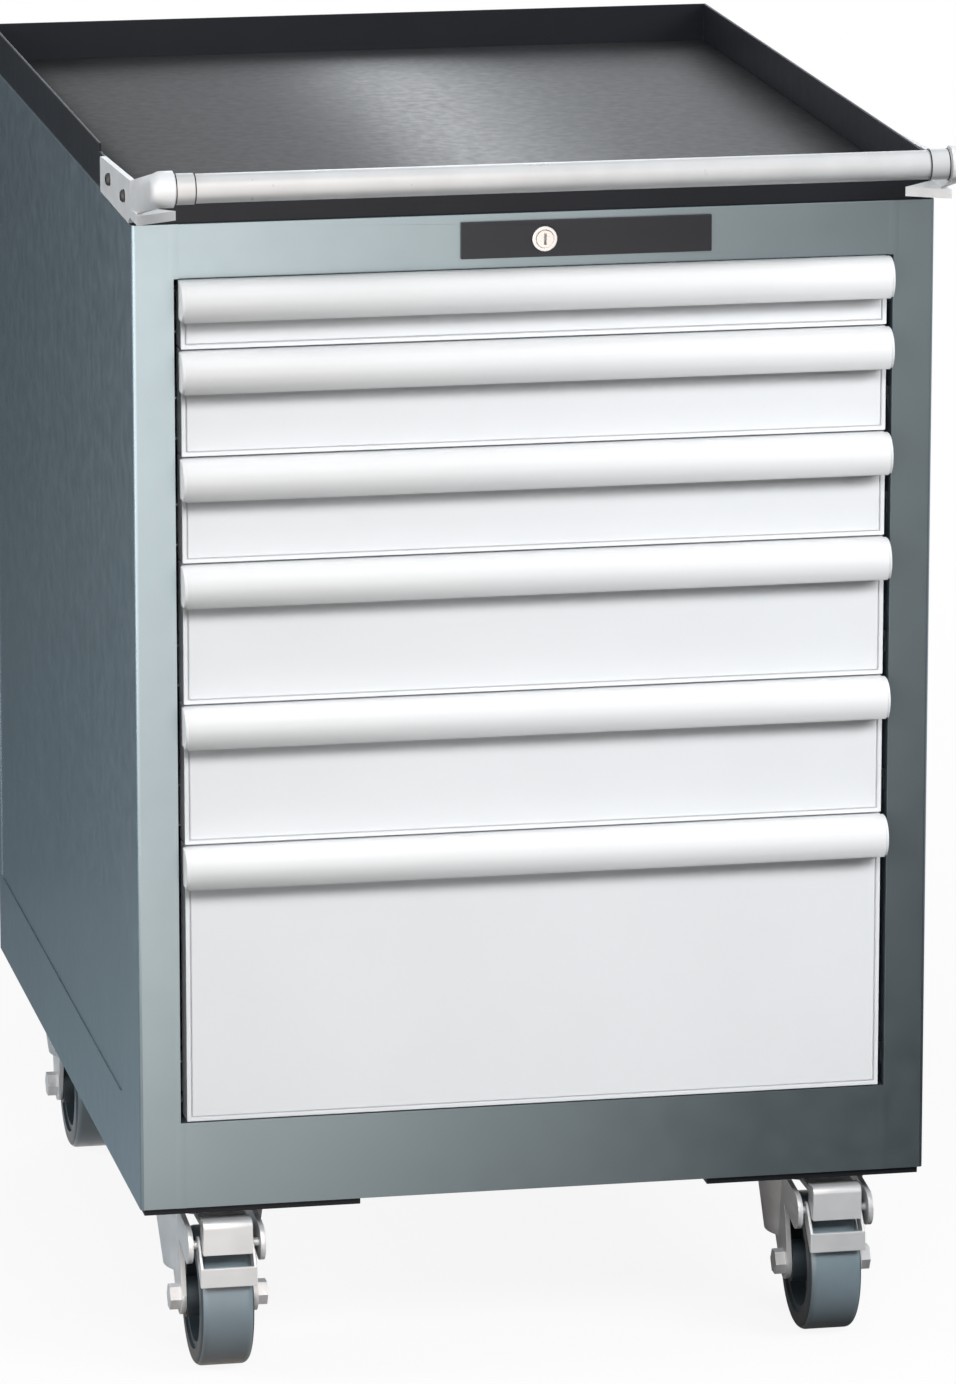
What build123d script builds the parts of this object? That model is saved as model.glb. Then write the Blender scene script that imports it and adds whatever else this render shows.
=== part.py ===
from build123d import *
from math import cos, radians, sin
import os

# Mobile steel cabinet with six drawers, in millimetres. +X is right, +Y is back and +Z is up.
# The floor is at zero, and the origin is below the middle of the whole box.

# Housing of folded steel sheet
housing_width = 564.0
housing_depth = 725.0
sheet = 1.5
corner_radius = 2.5
post_width = 29.0
post_return = 22.0
rear_return = 20.0
top_rail_height = 38.0
bottom_rail_height = 62.0
rail_return = 18.0
base_flange = 20.0
frame_band = 80.0
rear_band = 15.0
press_depth = 1.0
press_corner = 10.0
back_bead_width = 60.0
back_bead_depth = 4.0
back_bead_margin = 60.0

# Drawer fronts, from the top down
shallow_front = 50.0
low_front = 75.0
medium_front = 100.0
deep_front = 200.0
front_heights = [shallow_front, low_front, low_front, medium_front, medium_front, deep_front]
front_gap = 1.5
side_gap = 4.5
front_sheet = 1.5
front_pan_depth = 20.0
border_width = 3.0
groove_width = 0.8
groove_depth = 0.8

# Drawer boxes
box_sheet = 1.5
box_lift = 3.0
box_drop = 8.0
rear_space = 90.0
back_plate_inset = 4.0

# Handle bars on the drawer fronts
grip_height = 28.0
grip_reach = 19.0
grip_wall = 2.5
grip_overhang = 1.5
grip_cap = 2.0
grip_flange = 10.0
grip_flat_share = 0.25
grip_nose_share = 0.5
grip_lip_share = 0.72

# Roller slides
slide_height = 30.0
slide_sheet = 1.5
slide_gap = 1.0
rail_depth = 7.0
carriage_bar = 3.0
carriage_margin = 4.0
runner_depth = 10.0
roller_width = 4.5
roller_clearance = 0.3
slide_start = 30.0
slide_rise = 22.0
inner_roller_shares = [0.06, 0.47]
outer_roller_shares = [0.53, 0.94]

# Uprights that carry the rails
upright_depth = 40.0
upright_sheet = 2.0

# Lock in the top rail
lock_x = 5.0
lock_drop = 18.0
strip_left = 58.5
strip_right = 118.0
strip_height = 25.5
strip_thickness = 2.5
cylinder_diameter = 17.5
cylinder_proud = 2.0
cylinder_length = 20.0
plug_diameter = 12.0
plug_proud = 0.8
key_slot_width = 2.0
key_slot_height = 8.0
key_slot_depth = 8.0
fit_clearance = 0.25
cam_radius = 11.0
cam_thickness = 3.0
pin_orbit = 6.5
pin_diameter = 4.0
pin_length = 7.0
lock_bar_thickness = 3.0
slider_height = 14.0
slider_margin = 5.0
bar_setback = 9.0
bar_width = 12.0
bar_head_height = 34.0
bar_foot = 14.0
tab_height = 6.0
tab_reach = 2.5
tab_rise = 24.0
tab_clearance = 0.5
lock_half_turn = 45.0

# Top tray and mat
rim_inset = 2.0
rim_sheet = 2.0
rim_height = 30.6
tray_sheet = 1.0
lip_height = 20.0
side_lip_height = 25.0
rim_setback = 33.0
mat_thickness = 1.3
mat_gap = 0.5

# Push handle
tube_diameter = 20.0
tube_wall = 2.0
tube_reach = 94.0
tube_rise = 40.7
collar_width = 14.5
collar_step = 0.6
socket_diameter = 25.0
socket_length = 16.0
socket_round = 8.0
tube_insert = 9.0
bracket_thickness = 4.0
bracket_length = 129.0
bracket_lift = 2.0
bracket_height = 25.0
bracket_front_lift = 7.0
bracket_front_rise = 6.0
bracket_nose = 10.0
gusset_reach = 25.0
gusset_back = 3.0
gusset_front = 40.0
gusset_tip = 24.0
gusset_low = 5.0
gusset_thickness = 6.5
screw_diameter = 5.0
screw_head_diameter = 9.0
screw_head = 1.5
screw_rise = 18.0
screw_front = 17.0
screw_spacing = 67.5

# Castors
wheel_diameter = 100.0
wheel_clearance = 10.0
wheel_width = 38.0
tread_round = 5.0
tyre_depth = 12.0
hub_rim = 5.0
hub_rim_width = 34.0
hub_web = 12.0
boss_diameter = 30.0
castor_inset = 62.0
rear_castor_inset = 54.5
swivel_setback = 85.0
trail = 35.0
rear_axle_inset = 116.0
mount_plate = 5.0
mount_plate_width = 154.0
mount_plate_depth = 168.0
mount_plate_inset = 3.0
top_plate_width = 85.0
top_plate_length = 100.0
top_plate_thickness = 3.5
race_diameter = 56.0
race_height = 6.0
race_gap = 0.5
king_pin_diameter = 14.0
crown_diameter = 78.0
crown_height = 5.0
skirt_height = 46.0
skirt_foot_diameter = 66.0
fork_sheet = 3.5
fork_gap = 48.0
side_play = 0.5
axle_diameter = 12.0
axle_nut_diameter = 19.0
axle_nut = 7.5
leg_round = 13.0
leg_half_length = 30.0
fixed_leg_half_length = 28.0
brake_cover_width = 35.0
brake_cover_front = 85.0
brake_cover_depth = 16.0
brake_cover_drop = 21.0
brake_cover_rise = 3.0
brake_cover_round = 5.0
pedal_pivot_angle = 55.0
pedal_clearance = 2.0
pedal_pin_diameter = 6.0
pedal_width = 40.0
pedal_cheek = 2.0
pedal_cheek_round = 6.0
pedal_play = 0.3
pedal_strip_thickness = 3.0
pedal_strip_rise = 21.0
pedal_strip_height = 14.0
bolt_diameter = 8.0
bolt_head_diameter = 13.0
bolt_head = 5.0
bolt_across_share = 0.38
bolt_along_share = 0.38

# One overrun serves every through cut, and one tolerance every search for an edge
overrun = 1.0
edge_tolerance = 0.1
quarter_turn = 90.0

# Levels and places worked out from the sizes above
half_width = housing_width / 2
front_reach = tube_reach + socket_diameter / 2
overall_depth = housing_depth + front_reach
front_y = front_reach - overall_depth / 2
back_y = front_y + housing_depth
crown_low = wheel_diameter + wheel_clearance
crown_top = crown_low + crown_height
plate_z = crown_top + race_gap + race_height
castor_height = plate_z + top_plate_thickness
base_z = castor_height + mount_plate
opening_bottom = base_z + bottom_rail_height
opening_top = opening_bottom + sum(front_heights)
top_z = opening_top + top_rail_height
post_inner = half_width - post_width
wall_inner = half_width - sheet - press_depth
front_half = post_inner - side_gap
rail_tip = post_inner - rail_depth
bar_outer = rail_tip - slide_gap
bar_inner = bar_outer - carriage_bar
runner_tip = bar_inner - slide_gap
box_half = runner_tip - runner_depth
box_front = front_y + front_pan_depth
box_back = back_y - rear_space
slide_front = front_y + slide_start
slide_length = box_back - slide_front
roller_diameter = slide_height - 2 * slide_sheet - 2 * roller_clearance
lock_z = top_z - lock_drop
tube_y = front_y - tube_reach
tube_z = top_z + tube_rise
rim_half = half_width - rim_inset
bracket_outer = rim_half + bracket_thickness
wheel_radius = wheel_diameter / 2
axle_z = wheel_radius
castor_x = half_width - castor_inset
rear_castor_x = half_width - rear_castor_inset
swivel_y = front_y + swivel_setback
front_axle_y = swivel_y - trail
pedal_reach = wheel_radius + pedal_cheek_round + pedal_clearance
pivot_y = front_axle_y - pedal_reach * cos(radians(pedal_pivot_angle))
pivot_z = axle_z + pedal_reach * sin(radians(pedal_pivot_angle))
strip_y = front_axle_y - wheel_radius - pedal_strip_thickness
rear_axle_y = back_y - rear_axle_inset
fork_half = fork_gap / 2
pin_low = pin_orbit * 2 ** -0.5
cam_back = front_y - strip_thickness - cylinder_proud + cylinder_length + cam_thickness + fit_clearance
slider_y = cam_back + fit_clearance
lock_bar_y = front_y + bar_setback
lock_bar_x = post_inner + sheet + slide_gap
tab_window = tab_height + 2 * pin_low + 2 * tab_clearance


def block(x0, x1, y0, y1, z0, z1):
    """A box between two opposite corners."""
    return Pos(x0, y0, z0) * Box(x1 - x0, y1 - y0, z1 - z0, align=(Align.MIN, Align.MIN, Align.MIN))


def rod_x(diameter, x0, x1, y, z):
    """A round bar along X."""
    return Pos((x0 + x1) / 2, y, z) * Rot(Y=quarter_turn) * Cylinder(diameter / 2, x1 - x0)


def rod_y(diameter, x, y0, y1, z):
    """A round bar along Y."""
    return Pos(x, (y0 + y1) / 2, z) * Rot(X=quarter_turn) * Cylinder(diameter / 2, y1 - y0)


def rod_z(diameter, x, y, z0, z1):
    """A round bar along Z."""
    return Pos(x, y, (z0 + z1) / 2) * Cylinder(diameter / 2, z1 - z0)


def prism_x(outline, x0, x1):
    """A sketch drawn as (y, z) and carried from x0 to x1."""
    return extrude(Plane.YZ.offset(x0) * outline, amount=x1 - x0)


def mirrored(shape):
    """The same piece on the other side of the cabinet."""
    return mirror(shape, about=Plane.YZ)


def pair(shape):
    """A right-hand piece and its left-hand twin."""
    return [shape, mirrored(shape)]


def edges_along(part, axis, first, second):
    """Edges along X or Z that pass through one place, given by the two other coordinates."""
    found = []
    for edge in part.edges().filter_by(axis):
        middle = edge.center()
        place = (middle.Y, middle.Z) if axis == Axis.X else (middle.X, middle.Y)
        if abs(place[0] - first) < edge_tolerance and abs(place[1] - second) < edge_tolerance:
            found.append(edge)
    return found


def save(name, *pieces):
    """Write one node, as one solid or as a group of solids."""
    solids = [solid for piece in pieces for solid in piece.solids()]
    shape = solids[0] if len(solids) == 1 else Compound(children=solids)
    export_step(shape, f"parts/{name}.step")


def front_levels():
    """Lower and upper level of each drawer's share of the opening, from the top drawer down."""
    levels = []
    upper = opening_top
    for height in front_heights:
        levels.append((upper - height, upper))
        upper -= height
    return levels


def side_panel():
    """Right side: post face, outer wall with its pressed field, rear fold and the fold into the opening."""
    wall = block(half_width - sheet, half_width, front_y, back_y, base_z, top_z)
    face = block(post_inner, half_width, front_y, front_y + sheet, base_z, top_z)
    fold = block(post_inner, post_inner + sheet, front_y, front_y + post_return, opening_bottom, opening_top)
    rear = block(half_width - rear_return, half_width, back_y - sheet, back_y, base_z, top_z)
    panel = wall + face + fold + rear
    for corner_y in (front_y, back_y):
        panel = fillet(edges_along(panel, Axis.Z, half_width, corner_y), corner_radius)
    return panel - pressed_field(half_width) + pressed_field(half_width - sheet)


def pressed_field(outer_x):
    """The shallow pressing on the side, with one rounded corner, below a given outer face."""
    first = front_y + frame_band
    field = block(outer_x - press_depth, outer_x, first, back_y - rear_band, opening_bottom, top_z)
    return fillet(edges_along(field, Axis.X, first, opening_bottom), press_corner)


def tab_windows(panel):
    """Openings in the fold of the right-hand post for the tabs of the lock bar."""
    for lower, upper in front_levels():
        low = lower + tab_rise - 2 * pin_low - tab_clearance
        panel -= block(post_inner - overrun, post_inner + sheet + overrun,
                       lock_bar_y - tab_clearance, lock_bar_y + lock_bar_thickness + tab_clearance,
                       low, low + tab_window)
    return panel


def back_panel():
    """Rear sheet behind the rear folds, with two upright stiffening beads."""
    half = half_width - rear_return / 2
    panel_y = back_y - 2 * sheet
    low = base_z + sheet
    high = top_z - sheet
    panel = block(-half, half, panel_y, panel_y + sheet, low, high)
    for centre in (-half / 2, half / 2):
        left = centre - back_bead_width / 2
        right = centre + back_bead_width / 2
        bead_low = low + back_bead_margin
        bead_high = high - back_bead_margin
        panel += block(left - sheet, right + sheet, panel_y - back_bead_depth, panel_y,
                       bead_low - sheet, bead_high + sheet)
        panel -= block(left, right, panel_y - back_bead_depth + sheet, panel_y + sheet + overrun,
                       bead_low, bead_high)
    return panel


def base_panel():
    """Floor sheet with a flange at the front and the back."""
    half = half_width - sheet
    first = front_y + sheet
    last = back_y - 2 * sheet
    flange_half = half_width - rear_return
    panel = block(-half, half, first, last, base_z, base_z + sheet)
    panel += block(-post_inner, post_inner, first, first + sheet, base_z, base_z + base_flange)
    return panel + block(-flange_half, flange_half, last - sheet, last, base_z, base_z + base_flange)


def top_panel():
    """Roof sheet between the walls, with a flange at the back."""
    last = back_y - 2 * sheet - back_bead_depth
    panel = block(-wall_inner, wall_inner, front_y + sheet, back_y - sheet, top_z - sheet, top_z)
    flange_half = half_width - rear_return
    return panel + block(-flange_half, flange_half, last - sheet, last, top_z - base_flange, top_z)


def front_rails():
    """Upper rail with the hole for the lock, and lower rail, each with a fold at the opening."""
    upper = block(-post_inner, post_inner, front_y, front_y + sheet, opening_top, top_z)
    upper += block(-post_inner, post_inner, front_y, front_y + rail_return, opening_top, opening_top + sheet)
    upper -= rod_y(cylinder_diameter + 2 * fit_clearance, lock_x, front_y - overrun,
                   front_y + sheet + overrun, lock_z)
    lower = block(-post_inner, post_inner, front_y, front_y + sheet, base_z, opening_bottom)
    lower += block(-post_inner, post_inner, front_y, front_y + rail_return,
                   opening_bottom - sheet, opening_bottom)
    return [upper, lower]


def upright(first):
    """Right-hand channel that carries the rails, from a given front edge."""
    last = first + upright_depth
    low = base_z + sheet
    channel = block(post_inner, wall_inner, first, last, low, opening_top)
    return channel - block(post_inner + upright_sheet, wall_inner + overrun, first + upright_sheet,
                           last - upright_sheet, low - overrun, opening_top + overrun)


def uprights():
    """Front and rear channels on both sides."""
    pieces = []
    for first in (front_y + post_return, box_back - upright_depth):
        pieces += pair(upright(first))
    return pieces


def slide_channel(web_x, tip_x, centre_z):
    """Open channel of a slide along Y, with its web at one side and its flanges reaching to the other."""
    low = centre_z - slide_height / 2
    high = centre_z + slide_height / 2
    toward = 1 if tip_x > web_x else -1
    x0, x1 = sorted((web_x, tip_x))
    channel = block(x0, x1, slide_front, box_back, low, high)
    c0, c1 = sorted((web_x + toward * slide_sheet, tip_x + toward * overrun))
    return channel - block(c0, c1, slide_front - overrun, box_back + overrun,
                           low + slide_sheet, high - slide_sheet)


def cabinet_rails():
    """One rail on each side for every drawer."""
    pieces = []
    for lower, upper in front_levels():
        pieces += pair(slide_channel(post_inner, rail_tip, lower + slide_rise))
    return pieces


def carriage(centre_z):
    """Flat bar with rollers in the drawer's runner near its front and in the cabinet rail near its back."""
    half = slide_height / 2 - carriage_margin
    pieces = [block(bar_inner, bar_outer, slide_front, box_back, centre_z - half, centre_z + half)]
    for share in inner_roller_shares:
        place = slide_front + share * slide_length
        pieces.append(rod_x(roller_diameter, bar_inner - roller_width, bar_inner, place, centre_z))
    for share in outer_roller_shares:
        place = slide_front + share * slide_length
        pieces.append(rod_x(roller_diameter, bar_outer, bar_outer + roller_width, place, centre_z))
    return pieces


def drawer_front(lower, upper):
    """Front pan: face with a groove beside its border, four folds, and the slot for the lock tab."""
    low = lower + front_gap / 2
    high = upper - front_gap / 2
    pan = block(-front_half, front_half, front_y, box_front, low, high)
    hollow_half = front_half - front_sheet
    pan -= block(-hollow_half, hollow_half, front_y + front_sheet, box_front + overrun,
                 low + front_sheet, high - front_sheet)
    groove = front_half - border_width
    floor_y = front_y + groove_depth
    outline = block(-groove, groove, front_y - overrun, floor_y, low + border_width, high + overrun)
    inner = groove - groove_width
    outline -= block(-inner, inner, front_y - overrun, floor_y,
                     low + border_width + groove_width, high + overrun)
    pan -= outline
    return pan - lock_slot(lower)


def lock_slot(lower):
    """Slot in the right-hand fold, open to the back where the free tab rests, and closed where it locks."""
    free_low = lower + tab_rise - tab_clearance
    first = lock_bar_y - tab_clearance
    side0 = front_half - front_sheet - overrun
    side1 = front_half + overrun
    entry = block(side0, side1, first, box_front + overrun,
                  free_low, free_low + tab_height + 2 * tab_clearance)
    catch = block(side0, side1, first, lock_bar_y + lock_bar_thickness + tab_clearance,
                  free_low - 2 * pin_low, free_low + tab_height)
    return entry + catch


def drawer_box(lower, upper):
    """Open tray behind the front: front wall that closes the pan, floor, sides and back."""
    low = lower + front_gap / 2 + box_lift
    high = upper - front_gap / 2 - box_drop
    plate_half = front_half - back_plate_inset
    front_low = lower + front_gap / 2
    front_high = upper - front_gap / 2
    tray = block(-box_half, box_half, box_front, box_back, low, high)
    tray -= block(-box_half + box_sheet, box_half - box_sheet, box_front + box_sheet, box_back - box_sheet,
                  low + box_sheet, high + overrun)
    return tray + block(-plate_half, plate_half, box_front, box_front + box_sheet, front_low, front_high)


def grip_profile():
    """Bullnose handle section as (y, z) from the upper edge of the drawer face: a hook open below."""
    mid = grip_wall / 2
    nose = -grip_reach + mid
    start = (0, -mid)
    flat_end = (-grip_reach * grip_flat_share, -mid)
    nose_point = (nose, -grip_height * grip_nose_share)
    lip_end = (-grip_reach * grip_lip_share, -grip_height + mid)
    flat = Line(start, flat_end)
    crown = TangentArc(flat @ 1, nose_point, tangent=flat % 1)
    lip = TangentArc(crown @ 1, lip_end, tangent=crown % 1)
    hook = trace(Wire([flat, crown, lip]), grip_wall)
    return hook + Pos(-mid, -grip_flange / 2) * Rectangle(grip_wall, grip_flange)


def grip_cap_profile():
    """Closed outline of the handle section for the end caps."""
    mid = grip_wall / 2
    bottom = -grip_height + mid
    flat_end = (-grip_reach * grip_flat_share, 0)
    flat = Line((0, 0), flat_end)
    crown = TangentArc(flat_end, (-grip_reach, -grip_height * grip_nose_share), tangent=flat % 1)
    lip = TangentArc(crown @ 1, (-grip_reach * grip_lip_share, bottom), tangent=crown % 1)
    floor = Line(lip @ 1, (0, bottom))
    closing = Line(floor @ 1, (0, 0))
    return make_face([flat, crown, lip, floor, closing])


def drawer_handle(upper):
    """Handle bar across the drawer front with a cap at each end."""
    grip_half = front_half + grip_overhang
    place = Pos(0, front_y, upper - front_gap / 2)
    bar = place * prism_x(grip_profile(), -grip_half + grip_cap, grip_half - grip_cap)
    cap = place * prism_x(grip_cap_profile(), grip_half - grip_cap, grip_half)
    return [bar] + pair(cap)


def lock_strip():
    """Cover strip on the upper rail, with the hole for the cylinder."""
    strip = block(lock_x - strip_left, lock_x + strip_right, front_y - strip_thickness, front_y,
                  lock_z - strip_height / 2, lock_z + strip_height / 2)
    return strip - rod_y(cylinder_diameter + 2 * fit_clearance, lock_x, front_y - strip_thickness - overrun,
                         front_y + overrun, lock_z)


def lock_cylinder():
    """Fixed sleeve of the lock, held in the strip and the rail."""
    first = front_y - strip_thickness - cylinder_proud
    sleeve = rod_y(cylinder_diameter, lock_x, first, first + cylinder_length, lock_z)
    return sleeve - rod_y(plug_diameter + 2 * fit_clearance, lock_x, first - overrun,
                          first + cylinder_length + overrun, lock_z)


def lock_plug():
    """Turning core with key slot, cam and the pin that drives the sliding bar."""
    first = front_y - strip_thickness - cylinder_proud - plug_proud
    cam_front = cam_back - cam_thickness
    plug = rod_y(plug_diameter, lock_x, first, cam_front, lock_z)
    plug -= block(lock_x - key_slot_width / 2, lock_x + key_slot_width / 2,
                  first - overrun, first + key_slot_depth,
                  lock_z - key_slot_height / 2, lock_z + key_slot_height / 2)
    plug += rod_y(2 * cam_radius, lock_x, cam_front, cam_back, lock_z)
    return plug + rod_y(pin_diameter, lock_x - pin_low, cam_back, cam_back + pin_length, lock_z + pin_low)


def bar_pin_place():
    """Where the sliding bar's own pin stands at rest, in the lower left of the upright bar's slanted slot."""
    return lock_bar_x + slider_margin


def lock_slider():
    """Bar behind the upper rail, moved sideways by the cam pin; its end pin drives the upright bar."""
    left = lock_x - pin_low - pin_diameter / 2 - slider_margin
    right = bar_pin_place() + slider_margin
    low = lock_z
    last = slider_y + lock_bar_thickness
    bar = block(left, right, slider_y, last, low, low + slider_height)
    slot_half = pin_diameter / 2 + fit_clearance
    pin_x = lock_x - pin_low
    bar -= block(pin_x - slot_half, pin_x + slot_half, slider_y - overrun, last + overrun,
                 lock_z + pin_low - slot_half, lock_z + pin_orbit + slot_half)
    return bar + rod_y(pin_diameter, bar_pin_place(), lock_bar_y, slider_y, low + slider_height / 2)


def lock_bar():
    """Upright bar in the right-hand post: slanted slot at its head and one tab for each drawer."""
    last = lock_bar_y + lock_bar_thickness
    head_z = lock_z + slider_height / 2
    head_low = head_z - bar_head_height / 2
    head_right = bar_pin_place() + 2 * pin_low + slider_margin
    lowest = front_levels()[-1][0] + tab_rise - bar_foot
    bar = block(lock_bar_x, lock_bar_x + bar_width, lock_bar_y, last, lowest, head_low)
    bar += block(lock_bar_x, head_right, lock_bar_y, last, head_low, top_z - sheet - slide_gap)
    travel = 2 * pin_low
    slot_width = pin_diameter + 2 * fit_clearance
    slot = SlotCenterToCenter(travel * 2 ** 0.5, slot_width)
    placed = Pos(bar_pin_place() + pin_low, last + overrun, head_z + pin_low) * Rot(X=quarter_turn)
    bar -= placed * extrude(Rot(Z=lock_half_turn) * slot, amount=lock_bar_thickness + 2 * overrun)
    for lower, upper in front_levels():
        low = lower + tab_rise
        bar += block(front_half - tab_reach, lock_bar_x, lock_bar_y, last, low, low + tab_height)
    return bar


def top_tray():
    """Folded tray on the roof: rim at the sides and back, lower in front and beside the left bracket."""
    first = front_y + rim_inset
    last = back_y - rim_inset
    inner = rim_half - rim_sheet
    rim_start = front_y + bracket_length + rim_setback
    tray = block(-rim_half, rim_half, first, last, top_z, top_z + tray_sheet)
    tray += block(-rim_half, rim_half, first, first + rim_sheet, top_z, top_z + lip_height)
    tray += block(-rim_half, rim_half, last - rim_sheet, last, top_z, top_z + rim_height)
    tray += block(inner, rim_half, first, last, top_z, top_z + rim_height)
    tray += block(-rim_half, -inner, first, last, top_z, top_z + side_lip_height)
    tray += block(-rim_half, -inner, rim_start, last, top_z, top_z + rim_height)
    return tray


def top_mat():
    """Rubber mat lying in the tray."""
    half = rim_half - rim_sheet - mat_gap
    inset = rim_inset + rim_sheet + mat_gap
    low = top_z + tray_sheet
    return block(-half, half, front_y + inset, back_y - inset, low, low + mat_thickness)


def bracket_arm(nose, low, high):
    """Arm of the right-hand bracket: thin where it leaves the side plate, full where it meets the socket."""
    root = Plane(((rim_half + bracket_outer) / 2, nose, (low + high) / 2), x_dir=(1, 0, 0), z_dir=(0, -1, 0))
    end = Plane((bracket_outer - socket_length / 2, tube_y, tube_z), x_dir=(1, 0, 0), z_dir=(0, -1, 0))
    radius = socket_diameter / 2
    return loft([root * Rectangle(bracket_thickness, high - low),
                 end * Ellipse(socket_length / 2 - edge_tolerance, radius - edge_tolerance)])


def bracket():
    """Right-hand cast bracket: side plate, rising arm, socket for the tube and a gusset inside."""
    low = top_z + bracket_lift
    nose = front_y - bracket_nose
    rear = front_y + bracket_length
    front_low = low + bracket_front_lift
    rear_high = low + bracket_height
    front_high = rear_high + bracket_front_rise
    outline = Polyline((rear, low), (front_y, low), (nose, front_low), (nose, front_high),
                       (rear, rear_high), close=True)
    body = prism_x(make_face(outline), rim_half, bracket_outer)
    body = fillet(edges_along(body, Axis.X, rear, rear_high), corner_radius)
    body = fillet(edges_along(body, Axis.X, rear, low), corner_radius)
    socket = rod_x(socket_diameter, bracket_outer - socket_length, bracket_outer, tube_y, tube_z)
    socket = fillet(socket.edges().sort_by(Axis.X)[-1], socket_round)
    body += bracket_arm(nose, front_low, front_high) + socket
    gusset = Polyline((bracket_outer, front_y + gusset_back), (rim_half - gusset_reach, front_y - gusset_tip),
                      (bracket_outer, front_y - gusset_front), close=True)
    web_low = low + gusset_low
    body += extrude(Pos(0, 0, web_low) * make_face(gusset), amount=gusset_thickness)
    body -= rod_x(tube_diameter + 2 * fit_clearance, bracket_outer - socket_length - overrun,
                  bracket_outer - socket_length + tube_insert, tube_y, tube_z)
    for y in screw_places():
        body -= rod_x(screw_diameter, rim_half - overrun, bracket_outer + overrun, y, top_z + screw_rise)
    return body - block(rim_half - rim_sheet, rim_half, front_y + rim_inset, rear,
                        top_z, top_z + rim_height)


def screw_places():
    """Where the two bracket screws stand along Y."""
    return [front_y + screw_front, front_y + screw_front + screw_spacing]


def bracket_screws():
    """Four screws that hold the brackets on the tray."""
    pieces = []
    for y in screw_places():
        z = top_z + screw_rise
        screw = rod_x(screw_diameter, rim_half, bracket_outer, y, z)
        screw += rod_x(screw_head_diameter, bracket_outer, bracket_outer + screw_head, y, z)
        pieces += pair(screw)
    return pieces


def push_handle():
    """Tube between the brackets, with a collar beside each socket."""
    socket_face = bracket_outer - socket_length
    end = socket_face + tube_insert
    tube = rod_x(tube_diameter, -end, end, tube_y, tube_z)
    tube -= rod_x(tube_diameter - 2 * tube_wall, -end - overrun, end + overrun, tube_y, tube_z)
    collar_outer = tube_diameter + 2 * collar_step
    collar = rod_x(collar_outer, socket_face - collar_width, socket_face, tube_y, tube_z)
    collar -= rod_x(tube_diameter, socket_face - collar_width - overrun, socket_face + overrun,
                    tube_y, tube_z)
    return [tube] + pair(collar)


def mount_plates():
    """Plates under the corners of the base that carry the castors."""
    outer = half_width - mount_plate_inset
    pieces = []
    for first in (front_y + mount_plate_inset, back_y - mount_plate_inset - mount_plate_depth):
        pieces += pair(block(outer - mount_plate_width, outer, first, first + mount_plate_depth,
                             castor_height, base_z))
    return pieces


def bolt_places(x, y):
    """The four bolts round the middle of one castor plate."""
    across = bolt_across_share * top_plate_width
    along = bolt_along_share * top_plate_length
    return [(x + i * across, y + j * along) for i in (-1, 1) for j in (-1, 1)]


def castor_plate(x, y):
    """Plate of one castor with its bolt holes."""
    half_across = top_plate_width / 2
    half_along = top_plate_length / 2
    plate = block(x - half_across, x + half_across, y - half_along, y + half_along, plate_z, castor_height)
    for bolt_x, bolt_y in bolt_places(x, y):
        plate -= rod_z(bolt_diameter, bolt_x, bolt_y, plate_z - overrun, castor_height + overrun)
    return plate


def swivel_plate():
    """Plate of a swivel castor with its bearing race, bored for the king pin."""
    plate = castor_plate(castor_x, swivel_y)
    plate += rod_z(race_diameter, castor_x, swivel_y, plate_z - race_height, plate_z)
    return plate - rod_z(king_pin_diameter + 2 * fit_clearance, castor_x, swivel_y,
                         plate_z - race_height - overrun, castor_height + overrun)


def both_legs(outline, x):
    """The same side view on both sides of a wheel."""
    right = prism_x(outline, x + fork_half, x + fork_half + fork_sheet)
    return right + prism_x(outline, x - fork_half - fork_sheet, x - fork_half)


def leg_hull(top_y, top_half, top, foot_y, foot_z):
    """Side view of a fork leg: a hull of the crown's edge and a round end."""
    head = Pos(top_y, top - fork_sheet / 2) * Rectangle(2 * top_half, fork_sheet)
    foot = Pos(foot_y, foot_z) * Circle(leg_round)
    return make_hull(head.edges() + foot.edges())


def axle_bore(x, axle_y):
    """What the axle takes out of both legs."""
    reach = fork_half + fork_sheet + overrun
    return rod_x(axle_diameter, x - reach, x + reach, axle_y, axle_z)


def fork_skirt(x, y, high):
    """Tapered skirt below the crown, open where the wheel passes."""
    centre = Pos(x, y, high - skirt_height / 2)
    top_radius = crown_diameter / 2
    foot_radius = skirt_foot_diameter / 2
    skirt = centre * Cone(foot_radius, top_radius, skirt_height)
    skirt -= centre * Cone(foot_radius - fork_sheet, top_radius - fork_sheet, skirt_height)
    return skirt - block(x - fork_half, x + fork_half, y - crown_diameter, y + crown_diameter,
                         high - skirt_height - overrun, high)


def brake_cover():
    """Hood on the front of the crown, open below and behind."""
    half = brake_cover_width / 2
    first = swivel_y - brake_cover_front
    last = first + brake_cover_depth
    low = crown_top - brake_cover_drop
    high = crown_top + brake_cover_rise
    cover = block(castor_x - half, castor_x + half, first, last, low, high)
    cover = fillet(edges_along(cover, Axis.X, first, high), brake_cover_round)
    hollow_half = half - fork_sheet
    cover -= block(castor_x - hollow_half, castor_x + hollow_half, first + fork_sheet, last + overrun,
                   low - overrun, high - fork_sheet)
    return cover + block(castor_x - half, castor_x + half, first + fork_sheet, swivel_y,
                         crown_top - fork_sheet, crown_top)


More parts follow.
